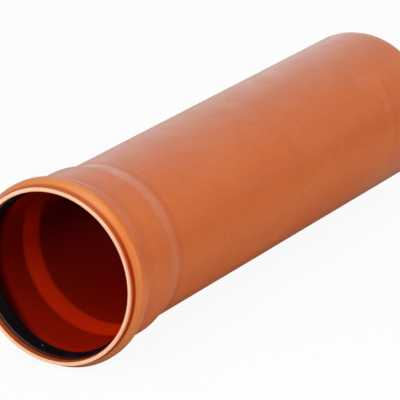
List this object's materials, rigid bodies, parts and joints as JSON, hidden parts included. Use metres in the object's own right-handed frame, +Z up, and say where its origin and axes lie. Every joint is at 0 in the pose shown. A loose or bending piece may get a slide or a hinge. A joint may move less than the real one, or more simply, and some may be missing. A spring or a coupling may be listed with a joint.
{
  "type": "pvc sewer pipe",
  "caption": "Short orange-brown plastic drain pipe: thin round tube with a chamfered spigot end and a formed push-fit socket whose bulged groove holds a black rubber lip ring.",
  "frame": {"origin": "on the floor, under the middle of the pipe's length; the pipe lies at rest on the bead round its groove and on the edge where the spigot's chamfer starts", "axes": "+X along the pipe from the socket's mouth to the spigot end, +Z up; the pipe's own axis lies in the XZ plane and dips 1.10 degrees towards +X, because the bead is wider than the barrel"},
  "size_m": [0.6006, 0.182, 0.1819],
  "materials": {
    "pipe": "satin",
    "seal_ring": "satin"
  },
  "bodies": {
    "root": {"pipe": "pipe", "seal_ring": "seal_ring"}
  },
  "joints": []
}
